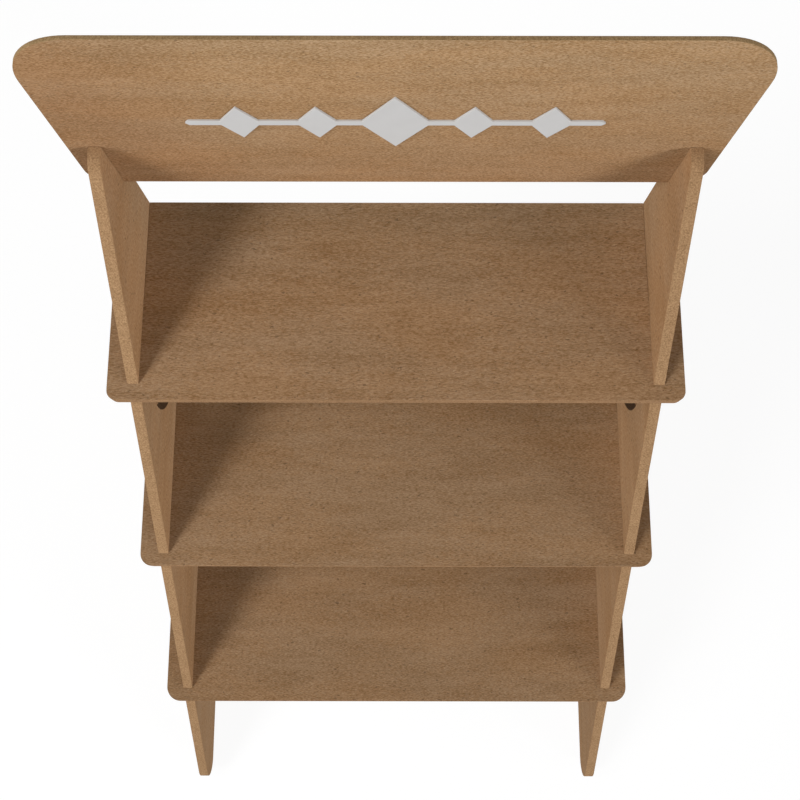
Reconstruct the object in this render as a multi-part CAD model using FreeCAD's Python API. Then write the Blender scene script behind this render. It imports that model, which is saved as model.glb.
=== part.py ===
import FreeCAD, Part
import math
import os

# Slotted display stand of solid fibreboard: two side panels, three shelves and a header board.
# Millimetres. X runs across the stand, the front faces -Y and Z points up.
# The origin lies on the floor, in the middle of the stand's width and depth.

# Whole stand
stand_depth = 500.0
stand_height = 620.0

# Side panels; their slanted front edge runs from the rounded toe to the rounded tip
panel_spacing = 400.0
panel_thickness = 9.0
toe_radius = 17.0
tip_radius = 20.0
hole_diameter = 82.0
hole_from_front = 102.0

# Shelves, counted from the bottom; each one's lip stands out in front of the side panels
shelf_names = ("bottom_shelf", "middle_shelf", "top_shelf")
shelf_lips = (12.2, 10.5, 12.4)
shelf_corner_radii = (14.0, 11.0, 8.0)
shelf_width = 450.0
shelf_thickness = 9.0
lowest_shelf_top = 123.0
shelf_pitch = 124.0

# Header board; its overlap is how far its bottom edge lies below the panels' flat tops,
# and its front face stands a little behind the point where a rounded tip becomes flat
header_width = 447.0
header_height = 180.0
header_thickness = 3.0
header_overlap = 55.0
header_from_back = 11.0
header_behind_tip = 4.5
header_top_radius = 42.5
header_bottom_radius = 18.0

# Pale ornament on the header: a thin rule with a large lozenge and four small ones
ornament_length = 270.0
ornament_thickness = 1.5
ornament_centre_depth = 90.0
rule_height = 5.0
large_lozenge_width = 46.0
large_lozenge_height = 62.0
small_lozenge_width = 28.0
small_lozenge_height = 38.0
lozenge_pitch = 50.0
small_lozenges_each_side = 2

# Slots: the gap left on each side of a board, and the gap at a shelf slot's closed end
slot_gap = 0.2
slot_end_gap = 0.3

# How far a cut runs past the face that it opens
overrun = 1.0

# Places that follow from the sizes
back_y = stand_depth / 2.0
front_y = -stand_depth / 2.0
header_back_y = back_y - header_from_back
header_front_y = header_back_y - header_thickness
header_bottom_z = stand_height - header_height
panel_top_z = header_bottom_z + header_overlap
toe_centre_y = front_y + toe_radius
toe_centre_z = toe_radius
tip_centre_y = header_front_y - header_behind_tip
tip_centre_z = panel_top_z - tip_radius


def vec(x, y, z):
    return FreeCAD.Vector(x, y, z)


def box(x0, x1, y0, y1, z0, z1):
    return Part.makeBox(x1 - x0, y1 - y0, z1 - z0, vec(x0, y0, z0))


def front_lean():
    """Angle from upright of the straight edge that touches the toe's and the tip's circles."""
    run = tip_centre_y - toe_centre_y
    rise = tip_centre_z - toe_centre_z
    return math.atan2(run, rise) - math.asin((tip_radius - toe_radius) / math.hypot(run, rise))


def on_front_corner(centre_y, centre_z, radius, angle):
    """Y and Z of a point on a rounded corner; the angle is counted from +Y towards +Z."""
    return centre_y + radius * math.cos(angle), centre_z + radius * math.sin(angle)


def toe_tangent():
    """Y and Z of the point where the rounded toe runs into the slanted front edge."""
    return on_front_corner(toe_centre_y, toe_centre_z, toe_radius, math.pi - front_lean())


def front_edge_y(z):
    """Y of the side panels' slanted front edge at the height z."""
    y_toe, z_toe = toe_tangent()
    return y_toe + (z - z_toe) * math.tan(front_lean())


def shelf_top(index):
    return lowest_shelf_top + index * shelf_pitch


def shelf_front_y(index):
    """A shelf stands out by its lip in front of the panels at its own top face."""
    return front_edge_y(shelf_top(index)) - shelf_lips[index]


def shelf_half_y(index):
    """Depth at which the panel's slot ends and the shelf's slot begins."""
    return (shelf_front_y(index) + back_y) / 2.0


def header_half_z():
    """Height at which the header's slots end and the panels' top slots begin."""
    return (header_bottom_z + panel_top_z) / 2.0


def panel_outline(x):
    """Upright back edge, short flat top, rounded tip, slanted front edge and rounded toe."""
    lean = front_lean()
    tip_mid = on_front_corner(tip_centre_y, tip_centre_z, tip_radius, (1.5 * math.pi - lean) / 2.0)
    tip_low = on_front_corner(tip_centre_y, tip_centre_z, tip_radius, math.pi - lean)
    heel = vec(x, back_y, 0)
    top_back = vec(x, back_y, panel_top_z)
    top_front = vec(x, tip_centre_y, panel_top_z)
    tip_end = vec(x, *tip_low)
    toe_top = vec(x, *toe_tangent())
    toe_front = vec(x, front_y, toe_centre_z)
    toe_floor = vec(x, toe_centre_y, 0)
    edges = [
        Part.makeLine(heel, top_back),
        Part.makeLine(top_back, top_front),
        Part.Arc(top_front, vec(x, *tip_mid), tip_end).toShape(),
        Part.makeLine(tip_end, toe_top),
        Part.Arc(toe_top, toe_front, toe_floor).toShape(),
        Part.makeLine(toe_floor, heel),
    ]
    return Part.Face(Part.Wire(edges))


def shelf_slot_in_panel(x0, x1, index):
    """Slot open at the slanted front edge; the shelf lies on its lower face."""
    z0 = shelf_top(index) - shelf_thickness
    z1 = shelf_top(index) + slot_gap
    return box(x0, x1, front_y - overrun, shelf_half_y(index), z0, z1)


def header_slot_in_panel(x0, x1):
    """Slot open at the panel's top; the header stands on its lower face."""
    y0 = header_front_y - slot_gap
    y1 = header_back_y + slot_gap
    return box(x0, x1, y0, y1, header_half_z(), panel_top_z + overrun)


def finger_hole(x0, x1):
    """Round hole halfway up the tier under the top shelf, set back from the slanted edge."""
    tier_floor = shelf_top(len(shelf_names) - 2)
    tier_ceiling = shelf_top(len(shelf_names) - 1) - shelf_thickness
    z = (tier_floor + tier_ceiling) / 2.0
    centre = vec(x0, front_edge_y(z) + hole_from_front, z)
    return Part.makeCylinder(hole_diameter / 2.0, x1 - x0, centre, vec(1, 0, 0))


def side_panel(inner_x, side):
    """One side panel; side is -1 for the left one and +1 for the right one."""
    outer_x = inner_x + side * panel_thickness
    x0 = min(inner_x, outer_x)
    panel = panel_outline(x0).extrude(vec(panel_thickness, 0, 0))
    reach_0 = x0 - overrun
    reach_1 = x0 + panel_thickness + overrun
    for index in range(len(shelf_names)):
        panel = panel.cut(shelf_slot_in_panel(reach_0, reach_1, index))
    panel = panel.cut(header_slot_in_panel(reach_0, reach_1))
    return panel.cut(finger_hole(reach_0, reach_1))


def shelf_outline(index):
    """Rectangle with its two front corners rounded, at the shelf's underside."""
    z = shelf_top(index) - shelf_thickness
    half = shelf_width / 2.0
    r = shelf_corner_radii[index]
    bend = r - r / math.sqrt(2.0)
    y = shelf_front_y(index)
    edges = [
        Part.makeLine(vec(-half, y + r, z), vec(-half, back_y, z)),
        Part.makeLine(vec(-half, back_y, z), vec(half, back_y, z)),
        Part.makeLine(vec(half, back_y, z), vec(half, y + r, z)),
        Part.Arc(vec(half, y + r, z), vec(half - bend, y + bend, z), vec(half - r, y, z)).toShape(),
        Part.makeLine(vec(half - r, y, z), vec(r - half, y, z)),
        Part.Arc(vec(r - half, y, z), vec(bend - half, y + bend, z), vec(-half, y + r, z)).toShape(),
    ]
    return Part.Face(Part.Wire(edges))


def panel_slots(y0, y1, z0, z1):
    """One slot for each side panel, as wide as the panel and its two gaps."""
    inner = panel_spacing / 2.0 - slot_gap
    outer = panel_spacing / 2.0 + panel_thickness + slot_gap
    right = box(inner, outer, y0, y1, z0, z1)
    left = box(-outer, -inner, y0, y1, z0, z1)
    return [left, right]


def shelf(index):
    """Shelf board with two slots that open at its back edge."""
    top = shelf_top(index)
    board = shelf_outline(index).extrude(vec(0, 0, shelf_thickness))
    slot_y = shelf_half_y(index) - slot_end_gap
    bottom = top - shelf_thickness
    for slot in panel_slots(slot_y, back_y + overrun, bottom - overrun, top + overrun):
        board = board.cut(slot)
    return board


def header_outline():
    """Rectangle with large rounded corners at the top and smaller ones at the bottom."""
    y = header_front_y
    half = header_width / 2.0
    top = stand_height
    bottom = header_bottom_z
    big = header_top_radius
    small = header_bottom_radius
    big_bend = big - big / math.sqrt(2.0)
    small_bend = small - small / math.sqrt(2.0)
    edges = [
        Part.makeLine(vec(big - half, y, top), vec(half - big, y, top)),
        Part.Arc(vec(half - big, y, top), vec(half - big_bend, y, top - big_bend),
                 vec(half, y, top - big)).toShape(),
        Part.makeLine(vec(half, y, top - big), vec(half, y, bottom + small)),
        Part.Arc(vec(half, y, bottom + small), vec(half - small_bend, y, bottom + small_bend),
                 vec(half - small, y, bottom)).toShape(),
        Part.makeLine(vec(half - small, y, bottom), vec(small - half, y, bottom)),
        Part.Arc(vec(small - half, y, bottom), vec(small_bend - half, y, bottom + small_bend),
                 vec(-half, y, bottom + small)).toShape(),
        Part.makeLine(vec(-half, y, bottom + small), vec(-half, y, top - big)),
        Part.Arc(vec(-half, y, top - big), vec(big_bend - half, y, top - big_bend),
                 vec(big - half, y, top)).toShape(),
    ]
    return Part.Face(Part.Wire(edges))


def header():
    """Header board with two slots that open at its bottom edge."""
    board = header_outline().extrude(vec(0, header_thickness, 0))
    y0 = header_front_y - overrun
    y1 = header_back_y + overrun
    for slot in panel_slots(y0, y1, header_bottom_z - overrun, header_half_z()):
        board = board.cut(slot)
    return board


def ornament_plate(points):
    """Flat plate on the header's front face, with its outline given as X and Z from its centre."""
    centre_z = stand_height - ornament_centre_depth
    corners = [vec(x, header_front_y, centre_z + z) for x, z in points]
    face = Part.Face(Part.makePolygon(corners + corners[:1]))
    return face.extrude(vec(0, -ornament_thickness, 0))


def ornament_rule():
    """Long thin bar that comes to a point at both ends."""
    end = ornament_length / 2.0
    h = rule_height / 2.0
    shoulder = end - h
    lower_side = [(-shoulder, -h), (shoulder, -h)]
    upper_side = [(shoulder, h), (-shoulder, h)]
    return ornament_plate([(-end, 0)] + lower_side + [(end, 0)] + upper_side)


def lozenge(x, width, height):
    w = width / 2.0
    h = height / 2.0
    return ornament_plate([(x - w, 0), (x, -h), (x + w, 0), (x, h)])


def header_ornament():
    """The rule and its lozenges, cut out as one flat piece."""
    ornament = ornament_rule().fuse(lozenge(0.0, large_lozenge_width, large_lozenge_height))
    for step in range(1, small_lozenges_each_side + 1):
        for side in (-1, 1):
            x = side * step * lozenge_pitch
            ornament = ornament.fuse(lozenge(x, small_lozenge_width, small_lozenge_height))
    return ornament.removeSplitter()


def save(name, shape):
    shape.exportStep(os.path.join("parts", name + ".step"))


os.makedirs("parts", exist_ok=True)
save("left_side_panel", side_panel(-panel_spacing / 2.0, -1))
save("right_side_panel", side_panel(panel_spacing / 2.0, 1))
for shelf_index, shelf_name in enumerate(shelf_names):
    save(shelf_name, shelf(shelf_index))
save("header", header())
save("header_ornament", header_ornament())
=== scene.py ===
import math

import bpy
from mathutils import Euler, Matrix, Vector

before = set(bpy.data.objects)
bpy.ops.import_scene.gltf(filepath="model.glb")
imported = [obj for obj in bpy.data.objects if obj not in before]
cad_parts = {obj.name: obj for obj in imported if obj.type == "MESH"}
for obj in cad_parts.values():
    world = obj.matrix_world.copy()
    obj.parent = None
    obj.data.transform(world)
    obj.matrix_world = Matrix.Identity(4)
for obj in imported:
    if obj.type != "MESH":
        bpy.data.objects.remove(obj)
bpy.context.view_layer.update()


# Camera
# The stand is seen from above its bottom shelf, looking almost straight down and a little
# towards the back, so that the header spreads out wide and the toes draw together.
camera_place = (0.00353, -0.06252, 1.08441)
camera_down = math.radians(78.191)
camera_turn = math.radians(0.142)
camera_roll = math.radians(-0.040)
camera_lens = 42.335
camera_sensor = 36.0
camera_nearest = 0.01

camera_data = bpy.data.cameras.new("viewer")
camera_data.sensor_width = camera_sensor
camera_data.lens = camera_lens
camera_data.clip_start = camera_nearest
camera_aim = Euler((math.pi / 2 - camera_down, 0.0, camera_turn)).to_matrix()
camera_aim = camera_aim @ Matrix.Rotation(camera_roll, 3, "Z")
camera = bpy.data.objects.new("viewer", camera_data)
camera.location = camera_place
camera.rotation_euler = camera_aim.to_euler()
bpy.context.scene.collection.objects.link(camera)
bpy.context.scene.camera = camera
bpy.context.scene.view_settings.view_transform = "Standard"


# Floor and backdrop
# A plain counter that runs far past the stand on all sides. The camera sees it white, with a
# part of its real light left in, so that the stand's soft shadow still shows on it.
floor_half = 6.0
floor_real = (0.16, 0.16, 0.16, 1.0)
floor_seen = (0.12, 0.12, 0.12, 1.0)
floor_glow = 0.92
sky_colour = (1.0, 1.0, 1.0, 1.0)
sky_real = 0.10
sky_seen = 1.0


def new_material(name):
    """A material with nodes and nothing in its tree but the output."""
    material = bpy.data.materials.new(name)
    material.use_nodes = True
    for old in list(material.node_tree.nodes):
        if old.bl_idname != "ShaderNodeOutputMaterial":
            material.node_tree.nodes.remove(old)
    return material, material.node_tree, material.node_tree.nodes["Material Output"]


def add_node(tree, kind, values=None, **settings):
    """Adds one node; values are numbers or colours for its sockets, or sockets to link from."""
    made = tree.nodes.new("ShaderNode" + kind)
    for key, value in settings.items():
        setattr(made, key, value)
    for key, value in (values or {}).items():
        if isinstance(value, bpy.types.NodeSocket):
            tree.links.new(value, made.inputs[key])
        else:
            made.inputs[key].default_value = value
    return made


def mixed_colour(tree, factor, a, b, blend="MIX"):
    """Mixes two colours, which a Mix node takes at its sockets 6 and 7 and gives at 2."""
    given = {0: factor, 6: a, 7: b}
    return add_node(tree, "Mix", given, data_type="RGBA", blend_type=blend).outputs[2]


def backdrop_mask(tree):
    """1 for rays that show the backdrop itself, 0 for rays that carry its light to the stand."""
    path = add_node(tree, "LightPath")
    shiny = {0: path.outputs["Is Glossy Ray"], 1: path.outputs["Is Transmission Ray"]}
    mirrored = add_node(tree, "Math", shiny, operation="MAXIMUM")
    both = {0: path.outputs["Is Camera Ray"], 1: mirrored.outputs[0]}
    return add_node(tree, "Math", both, operation="MAXIMUM").outputs[0]


floor_material, tree, output = new_material("white counter")
seen = backdrop_mask(tree)
matt = add_node(tree, "BsdfDiffuse", {"Color": mixed_colour(tree, seen, floor_real, floor_seen)})
glow_strength = add_node(tree, "Math", {0: seen, 1: floor_glow}, operation="MULTIPLY")
glow = add_node(tree, "Emission", {"Strength": glow_strength.outputs[0]})
added = add_node(tree, "AddShader", {0: matt.outputs[0], 1: glow.outputs[0]})
tree.links.new(added.outputs[0], output.inputs["Surface"])

floor_mesh = bpy.data.meshes.new("counter")
corners = [(x * floor_half, y * floor_half, 0.0) for x, y in ((-1, -1), (1, -1), (1, 1), (-1, 1))]
floor_mesh.from_pydata(corners, [], [(0, 1, 2, 3)])
floor_mesh.materials.append(floor_material)
floor = bpy.data.objects.new("counter", floor_mesh)
bpy.context.scene.collection.objects.link(floor)

world = bpy.data.worlds.new("studio")
world.use_nodes = True
bpy.context.scene.world = world
sky = world.node_tree.nodes["Background"]
sky_strength = add_node(
    world.node_tree,
    "MapRange",
    {"Value": backdrop_mask(world.node_tree), "To Min": sky_real, "To Max": sky_seen},
)
sky.inputs["Color"].default_value = sky_colour
world.node_tree.links.new(sky_strength.outputs[0], sky.inputs["Strength"])


# Lamps
# Soft far lamps, two from the left, two from the right and one from behind, throw the side
# panels' shadows on the shelves and on both ends of the header. Two near ones, left and in
# front, light the upper end more.
lamp_target = Vector((0.0, 0.05, 0.30))
far_distance = 5.0


def place_lamp(name, kind, azimuth, elevation, strength, distance):
    """A lamp that looks at the stand; azimuth runs from the front to the left, in degrees."""
    lamp_data = bpy.data.lights.new(name, kind)
    lamp_data.energy = strength
    lamp = bpy.data.objects.new(name, lamp_data)
    a = math.radians(azimuth)
    e = math.radians(elevation)
    away = Vector((-math.sin(a) * math.cos(e), -math.cos(a) * math.cos(e), math.sin(e)))
    lamp.location = lamp_target + away * distance
    lamp.rotation_euler = away.to_track_quat("Z", "Y").to_euler()
    bpy.context.scene.collection.objects.link(lamp)
    return lamp


def far_lamp(name, azimuth, elevation, strength, softness):
    """Parallel light; softness is how wide the lamp looks from the stand, in degrees."""
    lamp = place_lamp(name, "SUN", azimuth, elevation, strength, far_distance)
    lamp.data.angle = math.radians(softness)


def near_lamp(name, azimuth, elevation, strength, softness, distance):
    """A round lamp at a distance; at the stand it is as strong as parallel light would be."""
    lamp = place_lamp(name, "AREA", azimuth, elevation, strength * math.pi * distance**2, distance)
    lamp.data.shape = "DISK"
    lamp.data.size = 2.0 * distance * math.tan(math.radians(softness / 2.0))
    lamp.visible_camera = False


far_lamp("left lamp", azimuth=65.0, elevation=45.0, strength=0.97, softness=18.0)
far_lamp("low left lamp", azimuth=50.0, elevation=8.0, strength=1.46, softness=32.0)
far_lamp("low right lamp", azimuth=-50.0, elevation=8.0, strength=1.84, softness=18.0)
far_lamp("right lamp", azimuth=-80.0, elevation=18.0, strength=0.39, softness=18.0)
far_lamp("back lamp", azimuth=180.0, elevation=6.0, strength=1.10, softness=20.0)
near_lamp("near left lamp", azimuth=80.0, elevation=45.0, strength=0.58, softness=18.0, distance=1.2)
near_lamp("near front lamp", azimuth=0.0, elevation=45.0, strength=0.33, softness=30.0, distance=0.8)


# Side panels
# Two upright boards of 9 mm fibreboard, cut from one sheet with slots for the shelves. Their
# faces are pressed fibres with fine flecks, and their sawn edges are rougher and crumbly.
panel_face = (0.334, 0.197, 0.100, 1.0)
panel_edge = (0.335, 0.201, 0.102, 1.0)
panel_shifts = {
    "left_side_panel": (0.0, 0.0, 0.0),
    "right_side_panel": (1.7, 0.6, 0.0),
}
board_softness = 0.0004

# The round hole's radius is 0.041; its wall, what lies within hole_reach of its centre, is painted
# dark as shade.
hole_centre_y = 0.1338
hole_centre_z = 0.3045
hole_reach = 0.0425
hole_wall_painted_shade = (0.095, 0.051, 0.025, 1.0)

# Each pair of tints is for the low and the high end of its noise; they multiply the colour.
shade_tints = ((0.700, 0.626, 0.500, 1.0), (1.300, 1.374, 1.500, 1.0))
hue_tints = ((1.023, 0.995, 0.955, 1.0), (0.977, 1.005, 1.045, 1.0))
crumb_tints = ((0.640, 0.600, 0.540, 1.0), (1.360, 1.400, 1.460, 1.0))
dark_fleck = (0.10, 0.056, 0.029, 1.0)
pale_fleck = (0.52, 0.36, 0.22, 1.0)
sawn_roughness = 0.92

weld_reach = 0.00001
bevel_segments = 2
sharp_angle = math.radians(35.0)


def fibreboard_group():
    """Colour, roughness and height of fibreboard. Fibres run along the position's X.

    The shade is a sum of four noises, all stretched along X: the grain of single fibres, short
    streaks, blotches and wide clouds. Where it is dark, the colour is also a little redder, and
    two more noises turn the hue of single fibres and of wide patches. Dark and pale flecks are
    the peaks of two noises of their own. A sawn edge, where the surface turns away from the
    board's own flat faces, has crumbs that are as long as they are wide.
    """
    group = bpy.data.node_groups.new("fibreboard", "ShaderNodeTree")
    for name, kind in (
        ("Position", "NodeSocketVector"),
        ("Flatness", "NodeSocketFloat"),
        ("Grain", "NodeSocketFloat"),
        ("Face", "NodeSocketColor"),
        ("Edge", "NodeSocketColor"),
    ):
        group.interface.new_socket(name, in_out="INPUT", socket_type=kind)
    for name, kind in (
        ("Colour", "NodeSocketColor"),
        ("Roughness", "NodeSocketFloat"),
        ("Height", "NodeSocketFloat"),
    ):
        group.interface.new_socket(name, in_out="OUTPUT", socket_type=kind)
    given = group.nodes.new("NodeGroupInput")
    result = group.nodes.new("NodeGroupOutput")

    def stretched_noise(scales, detail, rough, bend, shift):
        """Noise with one scale for each axis, in cells per metre."""
        placed = {"Vector": given.outputs["Position"], "Location": (shift,) * 3, "Scale": scales}
        moved = add_node(group, "Mapping", placed)
        shape = {"Scale": 1.0, "Detail": detail, "Roughness": rough, "Distortion": bend}
        return add_node(group, "TexNoise", {"Vector": moved.outputs[0], **shape}).outputs[0]

    def ranged(value, low, high, out_low, out_high):
        """The value's span from low to high, spread over out_low to out_high and held there."""
        span = {"From Min": low, "From Max": high, "To Min": out_low, "To Max": out_high}
        return add_node(group, "MapRange", {"Value": value, **span}).outputs[0]

    def weighted_sum(parts):
        """The weighted sum of noises, moved so that its middle stays at one half."""
        total = 0.5 - 0.5 * sum(weight for _, weight in parts)
        for value, weight in parts:
            step = {0: value, 1: weight, 2: total}
            total = add_node(group, "Math", step, operation="MULTIPLY_ADD").outputs[0]
        return total

    def mixed_value(factor, a, b):
        """Mixes two plain values, which a Mix node takes at its sockets 2 and 3."""
        return add_node(group, "Mix", {0: factor, 2: a, 3: b}, data_type="FLOAT").outputs[0]

    grain = stretched_noise((370.0, 1600.0, 1600.0), detail=2.0, rough=0.65, bend=0.1, shift=0.0)
    hue = stretched_noise((260.0, 700.0, 700.0), detail=1.0, rough=0.5, bend=0.0, shift=4.6)
    slow_hue = stretched_noise((9.0, 26.0, 26.0), detail=1.0, rough=0.5, bend=0.3, shift=12.4)
    streaks = stretched_noise((60.0, 330.0, 330.0), detail=2.0, rough=0.5, bend=0.3, shift=3.1)
    blotches = stretched_noise((14.0, 90.0, 90.0), detail=2.0, rough=0.5, bend=0.3, shift=7.7)
    clouds = stretched_noise((7.0, 24.0, 24.0), detail=2.0, rough=0.5, bend=0.3, shift=9.3)
    dark_flecks = stretched_noise((300.0, 520.0, 520.0), detail=1.0, rough=0.4, bend=0.5, shift=1.3)
    pale_flecks = stretched_noise((330.0, 640.0, 640.0), detail=1.0, rough=0.4, bend=0.5, shift=5.9)
    crumbs = stretched_noise((850.0, 850.0, 850.0), detail=2.0, rough=0.7, bend=0.0, shift=2.2)

    centred = add_node(group, "Math", {0: grain, 1: 0.5}, operation="SUBTRACT").outputs[0]
    base_shade = weighted_sum([(streaks, 0.4), (blotches, 0.5), (clouds, 0.5)])
    grain_added = {0: centred, 1: given.outputs["Grain"], 2: base_shade}
    shade = add_node(group, "Math", grain_added, operation="MULTIPLY_ADD").outputs[0]
    shade_tint = mixed_colour(group, shade, *shade_tints)
    face = mixed_colour(group, 1.0, given.outputs["Face"], shade_tint, "MULTIPLY")
    turned_hue = ranged(weighted_sum([(hue, 1.0), (slow_hue, 1.3)]), 0.3, 0.7, 0.0, 1.0)
    hue_tint = mixed_colour(group, turned_hue, *hue_tints)
    face = mixed_colour(group, 1.0, face, hue_tint, "MULTIPLY")
    face = mixed_colour(group, ranged(dark_flecks, 0.68, 0.76, 0.0, 0.60), face, dark_fleck)
    face = mixed_colour(group, ranged(pale_flecks, 0.68, 0.78, 0.0, 0.40), face, pale_fleck)
    edge_shade = weighted_sum([(crumbs, 2.2), (blotches, 0.4)])
    edge_tint = mixed_colour(group, edge_shade, *crumb_tints)
    edge = mixed_colour(group, 1.0, given.outputs["Edge"], edge_tint, "MULTIPLY")

    on_face = ranged(given.outputs["Flatness"], 0.80, 0.95, 0.0, 1.0)
    group.links.new(mixed_colour(group, on_face, edge, face), result.inputs["Colour"])
    face_roughness = ranged(streaks, 0.3, 0.7, 0.74, 0.84)
    roughness = mixed_value(on_face, sawn_roughness, face_roughness)
    group.links.new(roughness, result.inputs["Roughness"])
    group.links.new(mixed_value(on_face, crumbs, grain), result.inputs["Height"])
    return group


fibreboard = fibreboard_group()


def board_material(name, fibres, flat, face, edge, shift, fineness=1.0, grain=2.7):
    """Fibreboard whose fibres run along one axis and whose flat faces look along another."""
    material, tree, output = new_material(name)
    coordinates = add_node(tree, "TexCoord")
    place = add_node(tree, "SeparateXYZ", {0: coordinates.outputs["Object"]})
    across = [axis for axis in "XYZ" if axis not in (fibres, flat)][0]
    order = {0: place.outputs[fibres], 1: place.outputs[across], 2: place.outputs[flat]}
    turned = add_node(tree, "CombineXYZ", order)
    spread = {0: turned.outputs[0], 1: (fineness,) * 3, 2: shift}
    moved = add_node(tree, "VectorMath", spread, operation="MULTIPLY_ADD")
    facing = add_node(tree, "SeparateXYZ", {0: coordinates.outputs["Normal"]})
    flatness = add_node(tree, "Math", {0: facing.outputs[flat]}, operation="ABSOLUTE")
    board = tree.nodes.new("ShaderNodeGroup")
    board.node_tree = fibreboard
    tree.links.new(moved.outputs[0], board.inputs["Position"])
    tree.links.new(flatness.outputs[0], board.inputs["Flatness"])
    board.inputs["Grain"].default_value = grain
    board.inputs["Face"].default_value = face
    board.inputs["Edge"].default_value = edge
    hills = {"Strength": 0.5, "Distance": 0.0002, "Height": board.outputs["Height"]}
    bump = add_node(tree, "Bump", hills)
    surface = add_node(
        tree,
        "BsdfPrincipled",
        {
            "Base Color": board.outputs["Colour"],
            "Roughness": board.outputs["Roughness"],
            "Specular IOR Level": 0.1,
            "Normal": bump.outputs[0],
        },
    )
    tree.links.new(surface.outputs[0], output.inputs["Surface"])
    return material, tree, place, board


def finish_node(node, material, softness):
    """Gives a piece its one material and softens its cut edges by a fraction of a millimetre."""
    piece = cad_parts[node]
    piece.data.materials.clear()
    piece.data.materials.append(material)
    joined = piece.modifiers.new("joined", "WELD")
    joined.merge_threshold = weld_reach
    soft = piece.modifiers.new("soft edges", "BEVEL")
    soft.width = softness
    soft.segments = bevel_segments
    soft.limit_method = "ANGLE"
    soft.angle_limit = sharp_angle
    soft.use_clamp_overlap = False


for node, shift in panel_shifts.items():
    material, tree, place, board = board_material(
        node + " board", "Y", "X", panel_face, panel_edge, shift
    )
    in_plane = add_node(tree, "CombineXYZ", {0: place.outputs["Y"], 1: place.outputs["Z"]})
    centre = {0: in_plane.outputs[0], 1: (hole_centre_y, hole_centre_z, 0.0)}
    away = add_node(tree, "VectorMath", centre, operation="DISTANCE")
    reach = {0: away.outputs["Value"], 1: hole_reach}
    in_hole = add_node(tree, "Math", reach, operation="LESS_THAN")
    # Painted shade: the wall of the round hole gets a dark colour in place of the shade inside the
    # bore.
    edge_colour = mixed_colour(tree, in_hole.outputs[0], panel_edge, hole_wall_painted_shade)
    tree.links.new(edge_colour, board.inputs["Edge"])
    finish_node(node, material, board_softness)


# Shelves
# Three boards of the same sheet, each deeper than the one above, with rounded front corners.
# They slide in from the front and their fibres run from side to side.
shelf_face = (0.329, 0.196, 0.101, 1.0)
shelf_edge = (0.302, 0.176, 0.090, 1.0)
shelf_shifts = {
    "bottom_shelf": (0.3, 2.1, 0.0),
    "middle_shelf": (2.9, 0.4, 0.0),
    "top_shelf": (1.1, 3.3, 0.0),
}

for node, shift in shelf_shifts.items():
    material = board_material(node + " board", "X", "Z", shelf_face, shelf_edge, shift)[0]
    finish_node(node, material, board_softness)


# Header
# A 3 mm board with rounded corners that drops over the tips of the side panels.
# Its face has painted light towards the top and painted shade, darker and redder, at the left end.
header_painted_shade = (0.303, 0.170, 0.083, 1.0)
header_painted_light = (0.392, 0.248, 0.129, 1.0)
header_edge = (0.330, 0.215, 0.105, 1.0)
header_shift = (4.2, 1.9, 0.0)
header_fineness = 1.35
header_grain = 4.0
header_softness = 0.0003
painted_light_upwards = {"From Min": 0.445, "From Max": 0.62, "To Min": 0.12, "To Max": 0.95}
painted_shade_leftwards = {"From Min": -0.20, "From Max": -0.10, "To Min": 0.62, "To Max": 0.0}

material, tree, place, board = board_material(
    "header board", "X", "Y", header_painted_shade, header_edge, header_shift, header_fineness, header_grain
)
# Painted light and shade: the face turns paler towards the top and darker towards the left end.
height_part = add_node(tree, "MapRange", {"Value": place.outputs["Z"], **painted_light_upwards})
end_part = add_node(tree, "MapRange", {"Value": place.outputs["X"], **painted_shade_leftwards})
paleness = {0: height_part.outputs[0], 1: end_part.outputs[0]}
painted_light_part = add_node(tree, "Math", paleness, operation="SUBTRACT", use_clamp=True)
face_colour = mixed_colour(tree, painted_light_part.outputs[0], header_painted_shade, header_painted_light)
tree.links.new(face_colour, board.inputs["Face"])
finish_node("header", material, header_softness)


# Header ornament
# A pale flat cut-out piece of hard plastic, 1.5 mm thick, glued to the middle of the header.
# It is satin, and its cut edges are crisp.
ornament_low = (0.5282, 0.52725, 0.5263, 1.0)
ornament_high = (0.5838, 0.58275, 0.5817, 1.0)
ornament_softness = 0.0002
cloud_shape = {"Scale": 60.0, "Detail": 4.0, "Roughness": 0.6}
gloss_range = {"From Min": 0.3, "From Max": 0.7, "To Min": 0.50, "To Max": 0.62}

material, tree, output = new_material("pale plastic")
coordinates = add_node(tree, "TexCoord")
cloud = add_node(tree, "TexNoise", {"Vector": coordinates.outputs["Object"], **cloud_shape})
tint = mixed_colour(tree, cloud.outputs[0], ornament_low, ornament_high)
gloss = add_node(tree, "MapRange", {"Value": cloud.outputs[0], **gloss_range})
plastic = {"Base Color": tint, "Roughness": gloss.outputs[0], "Specular IOR Level": 0.25}
surface = add_node(tree, "BsdfPrincipled", plastic)
tree.links.new(surface.outputs[0], output.inputs["Surface"])
finish_node("header_ornament", material, ornament_softness)
